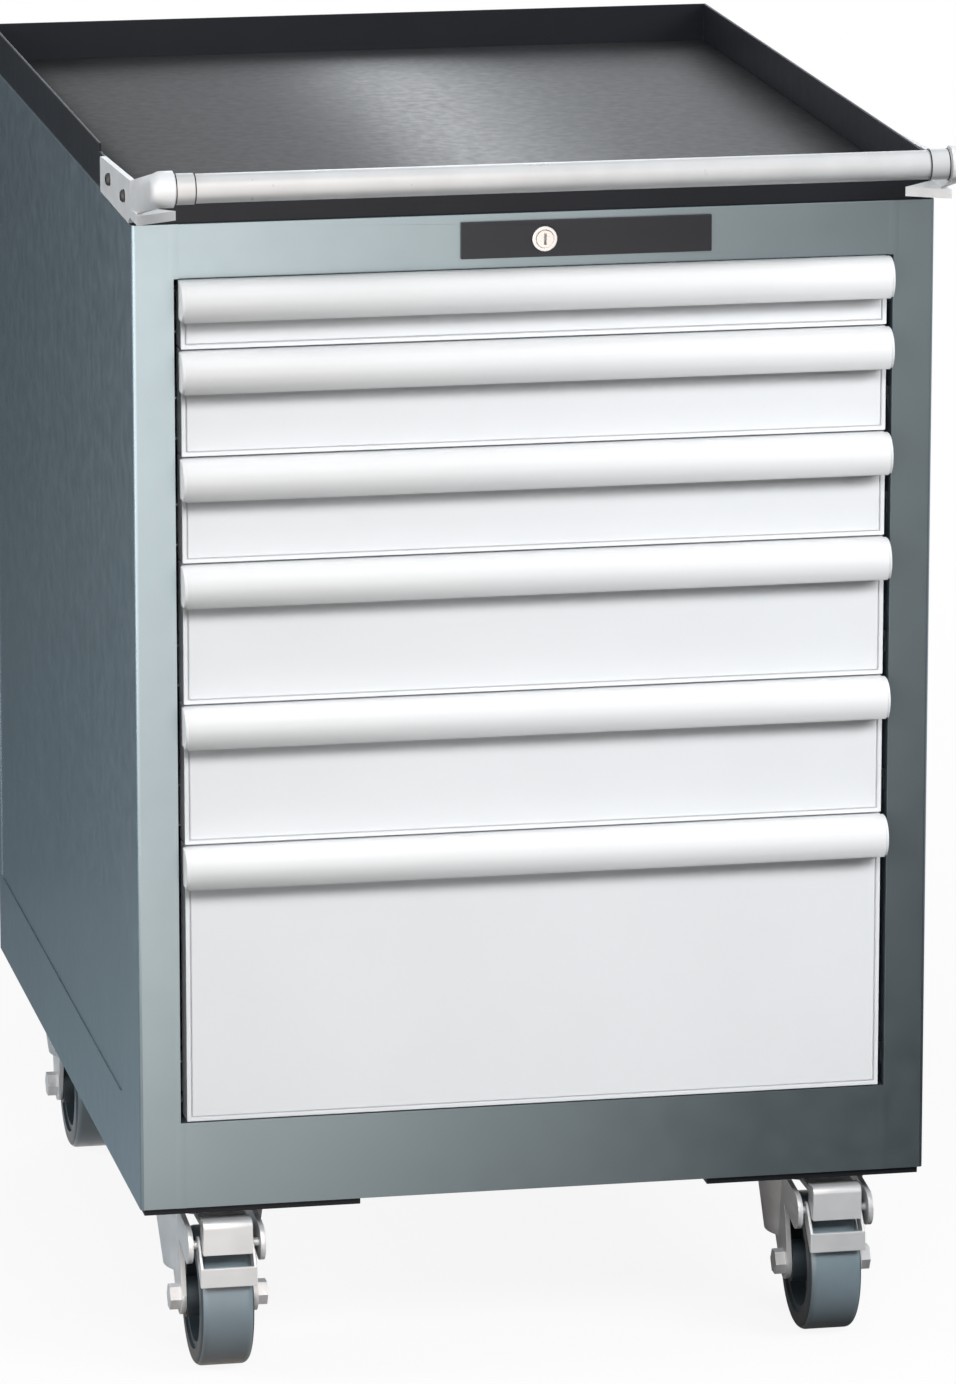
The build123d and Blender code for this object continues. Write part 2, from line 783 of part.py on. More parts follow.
def swivel_fork():
    """Turning fork: king pin, crown, skirt, legs, hood over the brake and the brake's pivot pin."""
    reach = fork_half + fork_sheet
    fork = rod_z(crown_diameter, castor_x, swivel_y, crown_low, crown_top)
    fork += rod_z(king_pin_diameter, castor_x, swivel_y, crown_top, castor_height - race_gap)
    fork += fork_skirt(castor_x, swivel_y, crown_low)
    fork += both_legs(leg_hull(swivel_y, leg_half_length, crown_top, front_axle_y, axle_z), castor_x)
    fork += both_legs(leg_hull(swivel_y, leg_half_length, crown_top, pivot_y, pivot_z), castor_x)
    fork += brake_cover()
    fork += rod_x(pedal_pin_diameter, castor_x - reach, castor_x + reach, pivot_y, pivot_z)
    return fork - axle_bore(castor_x, front_axle_y)


def rear_fork():
    """Fixed fork: plate, skirt and two legs in one."""
    fork = castor_plate(rear_castor_x, rear_axle_y)
    fork += fork_skirt(rear_castor_x, rear_axle_y, plate_z)
    outline = leg_hull(rear_axle_y, fixed_leg_half_length, plate_z, rear_axle_y, axle_z)
    fork += both_legs(outline, rear_castor_x)
    return fork - axle_bore(rear_castor_x, rear_axle_y)


def axle_bolt(x, axle_y):
    """Axle with its hexagon head and nut outside the legs."""
    reach = fork_half + fork_sheet
    bolt = rod_x(axle_diameter, x - reach, x + reach, axle_y, axle_z)
    nut = Pos(axle_y, axle_z) * RegularPolygon(axle_nut_diameter / 2, side_count=6)
    bolt += prism_x(nut, x + reach, x + reach + axle_nut)
    return bolt + prism_x(nut, x - reach - axle_nut, x - reach)


def wheel(x, axle_y):
    """Tyre on a dished hub with a bored boss."""
    tyre_inner = wheel_diameter - 2 * tyre_depth
    half = wheel_width / 2
    tyre = rod_x(wheel_diameter, x - half, x + half, axle_y, axle_z)
    tyre = fillet(tyre.edges(), tread_round)
    tyre -= rod_x(tyre_inner, x - half - overrun, x + half + overrun, axle_y, axle_z)
    rim_half_width = hub_rim_width / 2
    hub = rod_x(tyre_inner, x - rim_half_width, x + rim_half_width, axle_y, axle_z)
    hollow = tyre_inner - 2 * hub_rim
    hub -= rod_x(hollow, x + hub_web / 2, x + rim_half_width + overrun, axle_y, axle_z)
    hub -= rod_x(hollow, x - rim_half_width - overrun, x - hub_web / 2, axle_y, axle_z)
    boss_half = fork_half - side_play
    hub += rod_x(boss_diameter, x - boss_half, x + boss_half, axle_y, axle_z)
    bore = axle_diameter + 2 * fit_clearance
    return [tyre, hub - rod_x(bore, x - boss_half - overrun, x + boss_half + overrun, axle_y, axle_z)]


def brake_pedal():
    """Brake lever: two cheeks on the pivot pin and a strip across the front of the tread."""
    outer = pedal_width / 2
    inner = outer - pedal_cheek
    strip_low = axle_z + pedal_strip_rise
    strip_high = strip_low + pedal_strip_height
    eye = Pos(pivot_y, pivot_z) * Circle(pedal_cheek_round)
    foot = Pos(strip_y + pedal_strip_thickness / 2, (strip_low + strip_high) / 2)
    foot *= Rectangle(pedal_strip_thickness, pedal_strip_height)
    cheek = make_hull(eye.edges() + foot.edges())
    pedal = prism_x(cheek, castor_x + inner, castor_x + outer)
    pedal += prism_x(cheek, castor_x - outer, castor_x - inner)
    pedal += block(castor_x - outer, castor_x + outer, strip_y, strip_y + pedal_strip_thickness,
                   strip_low, strip_high)
    bore = pedal_pin_diameter + 2 * pedal_play
    reach = outer + overrun
    return pedal - rod_x(bore, castor_x - reach, castor_x + reach, pivot_y, pivot_z)


def castor_fasteners():
    """Plate bolts of all four castors and the axle bolts of the two fixed ones."""
    pieces = pair(axle_bolt(rear_castor_x, rear_axle_y))
    for x, y in bolt_places(castor_x, swivel_y) + bolt_places(rear_castor_x, rear_axle_y):
        head = extrude(RegularPolygon(bolt_head_diameter / 2, side_count=6), amount=bolt_head)
        bolt = Pos(x, y, plate_z - bolt_head) * head + rod_z(bolt_diameter, x, y, plate_z, castor_height)
        pieces += pair(bolt)
    return pieces


def save_housing():
    """Fixed sheet pieces, uprights and rails."""
    save("side_panel_right", tab_windows(side_panel()))
    save("side_panel_left", mirrored(side_panel()))
    save("back_panel", back_panel())
    save("base_panel", base_panel())
    save("top_panel", top_panel())
    save("front_rails", *front_rails())
    save("uprights", *uprights())
    save("cabinet_rails", *cabinet_rails())
    save("top_tray", top_tray())
    save("top_mat", top_mat())


def save_drawers():
    """The five nodes of each drawer, numbered from the top."""
    for number, (lower, upper) in enumerate(front_levels(), start=1):
        centre = lower + slide_rise
        name = f"drawer_{number}"
        save(f"{name}_front", drawer_front(lower, upper))
        save(f"{name}_box", drawer_box(lower, upper))
        save(f"{name}_handle", *drawer_handle(upper))
        save(f"{name}_runners", *pair(slide_channel(box_half, runner_tip, centre)))
        rollers = carriage(centre)
        save(f"{name}_carriages", *rollers, *[mirrored(piece) for piece in rollers])


def save_lock_and_handle():
    """Lock pieces and the push handle."""
    save("lock_strip", lock_strip())
    save("lock_cylinder", lock_cylinder())
    save("lock_plug", lock_plug())
    save("lock_slider", lock_slider())
    save("lock_bar", lock_bar())
    save("handle_brackets", *pair(bracket()))
    save("bracket_screws", *bracket_screws())
    save("push_handle", *push_handle())


def save_castors():
    """Mounting plates, forks, wheels, brakes and bolts."""
    save("castor_mount_plates", *mount_plates())
    save("swivel_plates", *pair(swivel_plate()))
    save("rear_forks", *pair(rear_fork()))
    save("castor_fasteners", *castor_fasteners())
    for side, place in (("right", lambda shape: shape), ("left", mirrored)):
        save(f"swivel_fork_{side}", place(swivel_fork()), place(axle_bolt(castor_x, front_axle_y)))
        save(f"brake_pedal_{side}", place(brake_pedal()))
        save(f"front_wheel_{side}", *[place(piece) for piece in wheel(castor_x, front_axle_y)])
        save(f"rear_wheel_{side}", *[place(piece) for piece in wheel(rear_castor_x, rear_axle_y)])


os.makedirs("parts", exist_ok=True)
save_housing()
save_drawers()
save_lock_and_handle()
save_castors()
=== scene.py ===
import math

import bmesh
import bpy
from mathutils import Matrix, Vector


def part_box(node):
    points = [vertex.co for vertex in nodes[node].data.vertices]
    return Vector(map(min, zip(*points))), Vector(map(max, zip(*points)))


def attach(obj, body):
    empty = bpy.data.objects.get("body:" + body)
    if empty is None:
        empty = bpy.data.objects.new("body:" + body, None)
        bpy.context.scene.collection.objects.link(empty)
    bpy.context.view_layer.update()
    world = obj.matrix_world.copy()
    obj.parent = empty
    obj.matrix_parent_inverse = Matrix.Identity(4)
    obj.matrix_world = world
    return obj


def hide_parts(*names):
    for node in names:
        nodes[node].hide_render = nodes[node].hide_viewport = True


# Looks of the drawer cabinet, in metres, in the CAD frame: +X right, +Y back, +Z up, floor at zero.

# Camera, fitted to the photograph; angles in degrees
PHOTO_HEIGHT = 1384
SENSOR = 36.0
FOCAL_PIXELS = 8256.0
CAMERA_PLACE = (-1.1113, -5.8017, 1.8144)
CAMERA_PITCH = 13.289
CAMERA_YAW = 11.321
CAMERA_ROLL = 0.068
CAMERA_SHIFT_PIXELS = 41.5
CAMERA_REACH = 100.0

# Colours, linear
WHITE = (1.0, 1.0, 1.0)
HOUSING_GREY = (0.188, 0.245, 0.280)
DRAWER_WHITE = (0.83, 0.85, 0.87)
HANDLE_WHITE = (0.83, 0.84, 0.85)
TRIM_BLACK = (0.013, 0.015, 0.019)
STRIP_GRAPHITE = (0.026, 0.029, 0.036)
MAT_GREY = (0.030, 0.032, 0.035)
ZINC = (0.70, 0.72, 0.74)
LOCK_SILVER = (0.70, 0.71, 0.72)
CAST_GREY = (0.76, 0.785, 0.805)
TUBE_SILVER = (0.56, 0.575, 0.59)
# Dark steel of the bracket screws; the lock slider and bar get it too, as painted shade of the dark reveal
DARK_SCREW_AND_PAINTED_SHADE = (0.022, 0.023, 0.026)
TREAD_GREY = (0.190, 0.245, 0.280)
WHEEL_DARK = (0.030, 0.045, 0.056)
FLOOR_WHITE = (0.92, 0.92, 0.92)
FLOOR_GREY = (0.09, 0.09, 0.09)

# Kinds of surface: clouds of colour between two shades, gloss that goes smoother and rougher, and a grain in
# relief; cloud, gloss and grain are noise scales
SURFACES = {
    "paint": {"cloud": 9.0, "shades": (0.97, 1.03), "gloss": 60.0, "smoother": 0.03, "rougher": 0.03,
              "grain": 1400.0, "detail": 1.0, "strength": 0.06, "depth": 0.0002},
    "metal": {"cloud": 30.0, "shades": (0.93, 1.05), "gloss": 220.0, "smoother": 0.06, "rougher": 0.08,
              "grain": 220.0, "detail": 3.0, "strength": 0.03, "depth": 0.0002},
    "rubber": {"cloud": 25.0, "shades": (0.92, 1.08), "gloss": 120.0, "smoother": 0.04, "rougher": 0.06,
               "grain": 900.0, "detail": 2.0, "strength": 0.12, "depth": 0.0003},
    "enamel": {"cloud": 40.0, "shades": (0.95, 1.04), "gloss": 90.0, "smoother": 0.05, "rougher": 0.05,
               "grain": 700.0, "detail": 3.0, "strength": 0.05, "depth": 0.0004},
}
NOISE_LOW = 0.3
NOISE_HIGH = 0.7
NOISE_DETAIL = 3.0
EVEN = (1.0, 1.0, 1.0)
DRAWN_LINES = (1.0, 0.12, 1.0)

# Rounded edges of the CAD pieces
SHEET_EDGE = 0.0006
CAST_EDGE = 0.0012
METAL_EDGE = 0.0005
EDGE_STEPS = 2
EDGE_ANGLE = 32.0
WELD_GAP = 0.00001

# Mat: ribs across the cabinet
RIB_PITCH = 0.003
RIB_HEIGHT = 0.0002
RIB_STEPS = 6
RIB_LEAN = 0.5

# Wheels: where the tread begins, and how far its faces may look along the axle
TREAD_REACH = 0.040
TREAD_LEAN = 0.75

# Frame welds: filled and painted over, where the rails meet the posts
OPENING_LOW = 0.192
OPENING_HIGH = 0.792
WELD_HALF = 0.0035
WELD_PROUD = 0.00005
WELD_DEPTH = 0.0004
WELD_STEPS = 6

# Thin dark rings at the ends of the push handle's collars, where dark lines show at the joints
DARK_RING_OUTER = 0.2665
DARK_RING_INNER = 0.2535
DARK_RING_HALF = 0.0004
DARK_RING_STEPS = 48
DARK_RING_CORNERS = 8

# Bracket screws: domed heads with a hexagon socket; DOME has shares of the head's radius, with the rise there
SCREW_STEPS = 24
SCREW_SHANK = 0.0025
SCREW_REACH = 0.004
SCREW_SEAT = 0.0015
SOCKET_FLAT = 0.002
SOCKET_TURN = 60.0
SOCKET_FLOOR = 0.0010
DOME = [(1.0, 0.0), (1.0, 0.0010), (0.95, 0.0018), (0.80, 0.0025), (0.62, 0.0029)]

# Studio: how far the floor reaches, and what the lamps aim at
FLOOR_REACH = 30.0
FRONT_MIDDLE = (0.0, -0.3, 0.5)
LEFT_MIDDLE = (-0.28, 0.0, 0.5)
BACK_MIDDLE = (0.0, 0.4, 0.5)
BOTTOM_RAIL = (-0.10, -0.31, 0.23)

# Reflecting cards; a stop is a share of the card's length, with the brightness at its near and its far edge
CARD_STEPS = 8
CARD_LIFT = 0.003
FOOT_LIFT = 0.002
WARM = (1.16, 1.02, 0.92)
COOL = (0.82, 1.0, 1.12)
PALE = (0.96, 1.0, 1.04)
FRONT_STOPS = [(0.0, 3.2, 5.4), (0.40, 2.2, 5.0), (0.60, 0.01, 2.1), (0.75, 0.01, 0.4), (1.0, 0.01, 0.2)]
FOOT_STOPS = [(0.0, 2.0, 0.5), (0.45, 1.2, 0.05), (0.68, 0.1, 0.02), (0.85, 0.01, 0.01), (1.0, 0.01, 0.01)]
MAT_STREAK = [(0.0, 0.85), (0.428, 0.85), (0.449, 1.10), (0.469, 2.30), (0.490, 3.70),
              (0.511, 3.00), (0.532, 2.20), (0.560, 1.50), (0.601, 0.85), (1.0, 0.85)]

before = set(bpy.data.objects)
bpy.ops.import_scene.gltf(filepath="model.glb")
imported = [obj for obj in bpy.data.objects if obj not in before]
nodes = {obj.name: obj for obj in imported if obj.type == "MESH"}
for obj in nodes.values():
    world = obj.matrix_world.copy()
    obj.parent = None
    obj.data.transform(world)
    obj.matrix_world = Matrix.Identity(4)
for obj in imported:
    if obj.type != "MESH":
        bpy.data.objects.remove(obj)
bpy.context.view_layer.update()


def noise(tree, scale, stretch=EVEN, detail=NOISE_DETAIL):
    """Noise in the piece's own coordinates; returns its value socket."""
    place = tree.nodes.new("ShaderNodeTexCoord")
    mapping = tree.nodes.new("ShaderNodeMapping")
    mapping.inputs["Scale"].default_value = stretch
    texture = tree.nodes.new("ShaderNodeTexNoise")
    texture.inputs["Scale"].default_value = scale
    texture.inputs["Detail"].default_value = detail
    tree.links.new(place.outputs["Object"], mapping.inputs["Vector"])
    tree.links.new(mapping.outputs["Vector"], texture.inputs["Vector"])
    return texture.outputs["Fac"]


def vary_roughness(tree, shader, value, low, high):
    """Roughness between two limits, after a noise value."""
    spread = tree.nodes.new("ShaderNodeMapRange")
    spread.inputs["From Min"].default_value = NOISE_LOW
    spread.inputs["From Max"].default_value = NOISE_HIGH
    spread.inputs["To Min"].default_value = low
    spread.inputs["To Max"].default_value = high
    tree.links.new(value, spread.inputs["Value"])
    tree.links.new(spread.outputs["Result"], shader.inputs["Roughness"])


def vary_colour(tree, shader, value, first, second):
    """Colour between two shades, after a noise value."""
    ramp = tree.nodes.new("ShaderNodeValToRGB")
    ramp.color_ramp.elements[0].position = NOISE_LOW
    ramp.color_ramp.elements[1].position = NOISE_HIGH
    ramp.color_ramp.elements[0].color = (*first, 1.0)
    ramp.color_ramp.elements[1].color = (*second, 1.0)
    tree.links.new(value, ramp.inputs["Fac"])
    tree.links.new(ramp.outputs["Color"], shader.inputs["Base Color"])


def bump(tree, shader, value, strength, depth):
    """Small relief after a noise value."""
    relief = tree.nodes.new("ShaderNodeBump")
    relief.inputs["Strength"].default_value = strength
    relief.inputs["Distance"].default_value = depth
    tree.links.new(value, relief.inputs["Height"])
    tree.links.new(relief.outputs["Normal"], shader.inputs["Normal"])


def shade(colour, factor):
    """The same colour, lighter or darker."""
    return tuple(min(1.0, channel * factor) for channel in colour)


def surface(name, kind, colour, roughness, metallic=0.0, specular=0.5, stretch=EVEN, **changes):
    """A material of one kind of surface; changes are other values than those of its kind."""
    look = {**SURFACES[kind], **changes}
    made = bpy.data.materials.new(name)
    made.use_nodes = True
    tree = made.node_tree
    shader = tree.nodes["Principled BSDF"]
    shader.inputs["Base Color"].default_value = (*colour, 1.0)
    shader.inputs["Metallic"].default_value = metallic
    shader.inputs["Roughness"].default_value = roughness
    shader.inputs["Specular IOR Level"].default_value = specular
    darkest, lightest = look["shades"]
    vary_colour(tree, shader, noise(tree, look["cloud"]), shade(colour, darkest), shade(colour, lightest))
    vary_roughness(tree, shader, noise(tree, look["gloss"], stretch),
                   roughness - look["smoother"], roughness + look["rougher"])
    bump(tree, shader, noise(tree, look["grain"], stretch, look["detail"]), look["strength"], look["depth"])
    return made


def dress(node_names, *materials):
    """Give CAD nodes these materials in their slots."""
    for name in node_names:
        slots = nodes[name].data.materials
        slots.clear()
        for made in materials:
            slots.append(made)


def soften(node_names, width):
    """Round the edges of CAD nodes with modifiers."""
    for name in node_names:
        piece = nodes[name]
        weld = piece.modifiers.new("weld", "WELD")
        weld.merge_threshold = WELD_GAP
        edge = piece.modifiers.new("edges", "BEVEL")
        edge.width = width
        edge.segments = EDGE_STEPS
        edge.limit_method = "ANGLE"
        edge.angle_limit = math.radians(EDGE_ANGLE)
        edge.use_clamp_overlap = True
        edge.harden_normals = True


def linked(name, mesh, made):
    """An object in the scene from a bmesh, with one material."""
    data = bpy.data.meshes.new(name)
    mesh.to_mesh(data)
    mesh.free()
    data.materials.append(made)
    piece = bpy.data.objects.new(name, data)
    bpy.context.scene.collection.objects.link(piece)
    return piece


def new_piece(name, mesh, body, made):
    """A new piece of the cabinet, riding on a body."""
    piece = linked(name, mesh, made)
    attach(piece, body)
    return piece


def closed_rings(mesh, rings):
    """A closed skin over rings of points, with a cap at each end."""
    rows = [[mesh.verts.new(point) for point in ring] for ring in rings]
    for first, second in zip(rows, rows[1:]):
        for index in range(len(first)):
            after = (index + 1) % len(first)
            mesh.faces.new((first[index], first[after], second[after], second[index]))
    mesh.faces.new(list(reversed(rows[0])))
    mesh.faces.new(rows[-1])


def ribbed_mat(made):
    """Mat with rounded ribs across the cabinet, in the place of its CAD sheet."""
    low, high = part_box("top_mat")
    middle = high.z - RIB_HEIGHT / 2
    count = int((high.y - low.y) / RIB_PITCH) * RIB_STEPS
    profile = [(low.y, low.z)]
    for index in range(count + 1):
        wave = math.cos(math.tau * index / RIB_STEPS)
        profile.append((low.y + (high.y - low.y) * index / count, middle - RIB_HEIGHT / 2 * wave))
    profile.append((high.y, low.z))
    mesh = bmesh.new()
    closed_rings(mesh, [[(x, y, z) for y, z in profile] for x in (low.x, high.x)])
    bmesh.ops.recalc_face_normals(mesh, faces=mesh.faces)
    for face in mesh.faces:
        face.smooth = face.normal.z > RIB_LEAN
    piece = new_piece("ribbed_mat", mesh, "housing", made)
    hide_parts("top_mat")


def frame_welds(made):
    """Filled seams between the front rails and the posts."""
    low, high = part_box("front_rails")
    mesh = bmesh.new()
    for x in (low.x, high.x):
        for bottom, top in ((low.z, OPENING_LOW), (OPENING_HIGH, high.z)):
            outline = [(x - WELD_HALF, low.y + WELD_DEPTH), (x + WELD_HALF, low.y + WELD_DEPTH)]
            for step in range(WELD_STEPS + 1):
                side = 1.0 - 2.0 * step / WELD_STEPS
                outline.append((x + WELD_HALF * side, low.y - WELD_PROUD * (1.0 - side * side)))
            closed_rings(mesh, [[(across, y, z) for across, y in outline] for z in (bottom, top)])
    bmesh.ops.recalc_face_normals(mesh, faces=mesh.faces)
    new_piece("frame_welds", mesh, "housing", made)


def screw_rings(head):
    """Rings of a screw from its tip over the dome to the socket's floor: at each step round the axis, the
    reach from it and the rise."""
    profile = [(SCREW_SHANK, -SCREW_REACH), (SCREW_SHANK, 0.0)]
    profile += [(share * head, rise) for share, rise in DOME]
    rings = [[point] * SCREW_STEPS for point in profile]
    for rise in (DOME[-1][1], SOCKET_FLOOR):
        hexagon = []
        for step in range(SCREW_STEPS):
            turn = (step * 360.0 / SCREW_STEPS + SOCKET_TURN / 2) % SOCKET_TURN - SOCKET_TURN / 2
            hexagon.append((SOCKET_FLAT / math.cos(math.radians(turn)), rise))
        rings.append(hexagon)
    return rings


def screw_heads(made):
    """Domed socket screws in the place of the plain CAD ones."""
    low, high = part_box("bracket_screws")
    head = (high.z - low.z) / 2
    middle = (low.z + high.z) / 2
    seat = high.x - SCREW_SEAT
    angles = [math.radians(step * 360.0 / SCREW_STEPS) for step in range(SCREW_STEPS)]
    mesh = bmesh.new()
    for side in (-1.0, 1.0):
        for y in (low.y + head, high.y - head):
            rings = []
            for ring in screw_rings(head):
                points = []
                for angle, (reach, rise) in zip(angles, ring):
                    points.append((side * (seat + rise), y + reach * math.cos(angle),
                                   middle + reach * math.sin(angle)))
                rings.append(points)
            closed_rings(mesh, rings)
    bmesh.ops.recalc_face_normals(mesh, faces=mesh.faces)
    piece = new_piece("bracket_socket_screws", mesh, "housing", made)
    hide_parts("bracket_screws")


def collar_dark_rings(made):
    """Thin dark rings at both ends of the push handle's collars, where dark lines show at the joints."""
    low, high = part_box("push_handle")
    y, z = (low.y + high.y) / 2, (low.z + high.z) / 2
    radius = (high.z - low.z) / 2
    mesh = bmesh.new()
    for x in (-DARK_RING_OUTER, -DARK_RING_INNER, DARK_RING_INNER, DARK_RING_OUTER):
        rows = []
        for step in range(DARK_RING_STEPS):
            turn = math.tau * step / DARK_RING_STEPS
            row = []
            for corner in range(DARK_RING_CORNERS):
                lean = math.tau * corner / DARK_RING_CORNERS
                reach = radius + DARK_RING_HALF * math.cos(lean)
                row.append(mesh.verts.new((x + DARK_RING_HALF * math.sin(lean), y + reach * math.cos(turn),
                                           z + reach * math.sin(turn))))
            rows.append(row)
        for step in range(DARK_RING_STEPS):
            first, second = rows[step], rows[(step + 1) % DARK_RING_STEPS]
            for corner in range(DARK_RING_CORNERS):
                after = (corner + 1) % DARK_RING_CORNERS
                mesh.faces.new((first[corner], first[after], second[after], second[corner]))
    bmesh.ops.recalc_face_normals(mesh, faces=mesh.faces)
    for face in mesh.faces:
        face.smooth = True
    new_piece("handle_collar_dark_rings", mesh, "housing", made)


def split_wheel(name, tread, body):
    """Tread and body of one wheel node get their own material: the tread's faces are far from the axle and
    look away from it."""
    dress([name], tread, body)
    low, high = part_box(name)
    axle = (low + high) / 2
    for face in nodes[name].data.polygons:
        reach = math.hypot(face.center.y - axle.y, face.center.z - axle.z)
        face.material_index = 0 if reach > TREAD_REACH and abs(face.normal.x) < TREAD_LEAN else 1


def drawer_nodes(kind):
    """One kind of node of all the drawers."""
    return [name for name in nodes if name.startswith("drawer_") and name.endswith(kind)]


def dress_nodes():
    """Materials and rounded edges of the CAD nodes, and the pieces that are added to them."""
    housing_paint = surface("housing_paint", "paint", HOUSING_GREY, roughness=0.38, metallic=0.85)
    drawer_paint = surface("drawer_paint", "paint", DRAWER_WHITE, roughness=0.42, specular=0.15,
                           shades=(0.988, 1.012))
    handle_coat = surface("handle_coat", "paint", HANDLE_WHITE, roughness=0.36, specular=0.15,
                          shades=(0.99, 1.01))
    trim = surface("trim_black", "paint", TRIM_BLACK, roughness=0.48, specular=0.15, shades=(0.90, 1.10))
    graphite = surface("strip_graphite", "paint", STRIP_GRAPHITE, roughness=0.40, specular=0.25,
                       shades=(0.94, 1.06))
    zinc = surface("zinc", "metal", ZINC, roughness=0.36, metallic=0.30, stretch=DRAWN_LINES)
    lock_metal = surface("lock_metal", "metal", LOCK_SILVER, roughness=0.26, metallic=0.6)
    screw_and_painted_shade = surface("dark_screw_and_painted_shade", "metal", DARK_SCREW_AND_PAINTED_SHADE, roughness=0.38, metallic=0.35)
    cast_grey = surface("cast_grey", "enamel", CAST_GREY, roughness=0.40, metallic=0.05)
    tube_metal = surface("tube_metal", "enamel", TUBE_SILVER, roughness=0.32, metallic=0.10)
    mat = surface("mat_rubber", "rubber", MAT_GREY, roughness=0.40)
    tread = surface("tread_grey", "rubber", TREAD_GREY, roughness=0.34, specular=0.6)
    body = surface("wheel_dark", "rubber", WHEEL_DARK, roughness=0.45, grain=500.0)

    housing = ["side_panel_left", "side_panel_right", "back_panel", "base_panel", "top_panel", "front_rails"]
    drawer_sheets = drawer_nodes("_front") + drawer_nodes("_box")
    handles = drawer_nodes("_handle")
    black_sheets = ["top_tray", "castor_mount_plates"]
    lock_front = ["lock_cylinder", "lock_plug"]
    # The lock slider and bar get the dark screw colour as painted shade: they stand in the dark reveal beside
    # the drawers
    lock_parts_in_painted_shade = ["lock_slider", "lock_bar"]
    zinc_plated = ["swivel_fork_left", "swivel_fork_right", "rear_forks", "swivel_plates", "castor_fasteners",
                   "brake_pedal_left", "brake_pedal_right", "uprights", "cabinet_rails"]
    zinc_plated += drawer_nodes("_runners") + drawer_nodes("_carriages")
    dress(housing, housing_paint)
    dress(drawer_sheets, drawer_paint)
    dress(handles, handle_coat)
    dress(black_sheets, trim)
    dress(["lock_strip"], graphite)
    dress(zinc_plated, zinc)
    dress(lock_front, lock_metal)
    dress(["bracket_screws"] + lock_parts_in_painted_shade, screw_and_painted_shade)
    dress(["handle_brackets"], cast_grey)
    dress(["push_handle"], tube_metal)
    dress(["top_mat"], mat)
    for end in ("front", "rear"):
        for side in ("left", "right"):
            split_wheel(f"{end}_wheel_{side}", tread, body)

    soften(housing + drawer_sheets + black_sheets, SHEET_EDGE)
    soften(zinc_plated + lock_parts_in_painted_shade + lock_front + ["lock_strip"] + handles, METAL_EDGE)
    soften(["handle_brackets"], CAST_EDGE)

    ribbed_mat(mat)
    frame_welds(housing_paint)
    screw_heads(screw_and_painted_shade)
    collar_dark_rings(trim)


def area_light(name, place, target, size, power, spread=math.pi):
    """A soft lamp aimed at a point; it leaves no spot on glossy pieces."""
    lamp = bpy.data.lights.new(name, "AREA")
    lamp.shape = "RECTANGLE"
    lamp.size, lamp.size_y = size
    lamp.energy = power
    lamp.spread = spread
    light = bpy.data.objects.new(name, lamp)
    bpy.context.scene.collection.objects.link(light)
    light.location = place
    light.rotation_euler = (Vector(target) - Vector(place)).to_track_quat("-Z", "Y").to_euler()
    light.visible_camera = False
    light.visible_glossy = False


def backdrop_mix(tree, lit, shown, output):
    """Join two shaders so that camera, glossy and transmission rays meet the second one."""
    path = tree.nodes.new("ShaderNodeLightPath")
    first = tree.nodes.new("ShaderNodeMath")
    first.operation = "MAXIMUM"
    second = tree.nodes.new("ShaderNodeMath")
    second.operation = "MAXIMUM"
    tree.links.new(path.outputs["Is Camera Ray"], first.inputs[0])
    tree.links.new(path.outputs["Is Glossy Ray"], first.inputs[1])
    tree.links.new(first.outputs[0], second.inputs[0])
    tree.links.new(path.outputs["Is Transmission Ray"], second.inputs[1])
    mix = tree.nodes.new("ShaderNodeMixShader")
    tree.links.new(second.outputs[0], mix.inputs["Fac"])
    tree.links.new(lit, mix.inputs[1])
    tree.links.new(shown, mix.inputs[2])
    tree.links.new(mix.outputs[0], output)


def white_world(ambient):
    """Even light all round; the background itself is white."""
    world = bpy.data.worlds.new("studio")
    bpy.context.scene.world = world
    world.use_nodes = True
    tree = world.node_tree
    lit = tree.nodes["Background"]
    lit.inputs["Color"].default_value = (*WHITE, 1.0)
    lit.inputs["Strength"].default_value = ambient
    shown = tree.nodes.new("ShaderNodeBackground")
    shown.inputs["Color"].default_value = (*WHITE, 1.0)
    backdrop_mix(tree, lit.outputs[0], shown.outputs[0], tree.nodes["World Output"].inputs["Surface"])


def bare_material(name):
    """A material without a shader; returns it with its tree and its surface socket."""
    made = bpy.data.materials.new(name)
    made.use_nodes = True
    tree = made.node_tree
    tree.nodes.remove(tree.nodes["Principled BSDF"])
    return made, tree, tree.nodes["Material Output"].inputs["Surface"]


def white_floor(shadow_share, near, far):
    """White floor with a soft shadow round the castors; it throws back little light."""
    made, tree, output = bare_material("floor_white")
    lit = tree.nodes.new("ShaderNodeBsdfDiffuse")
    lit.inputs["Color"].default_value = (*FLOOR_GREY, 1.0)
    shadowed = tree.nodes.new("ShaderNodeBsdfDiffuse")
    shadowed.inputs["Color"].default_value = (*FLOOR_WHITE, 1.0)
    glow = tree.nodes.new("ShaderNodeEmission")
    shown = tree.nodes.new("ShaderNodeMixShader")
    place = tree.nodes.new("ShaderNodeTexCoord")
    reach = tree.nodes.new("ShaderNodeVectorMath")
    reach.operation = "LENGTH"
    fade = tree.nodes.new("ShaderNodeMapRange")
    fade.inputs["From Min"].default_value = near
    fade.inputs["From Max"].default_value = far
    fade.inputs["To Min"].default_value = shadow_share
    fade.inputs["To Max"].default_value = 0.0
    tree.links.new(place.outputs["Object"], reach.inputs[0])
    tree.links.new(reach.outputs["Value"], fade.inputs["Value"])
    tree.links.new(fade.outputs["Result"], shown.inputs["Fac"])
    tree.links.new(glow.outputs[0], shown.inputs[1])
    tree.links.new(shadowed.outputs[0], shown.inputs[2])
    backdrop_mix(tree, lit.outputs[0], shown.outputs[0], output)
    mesh = bmesh.new()
    bmesh.ops.create_grid(mesh, x_segments=1, y_segments=1, size=FLOOR_REACH)
    floor = linked("floor", mesh, made)


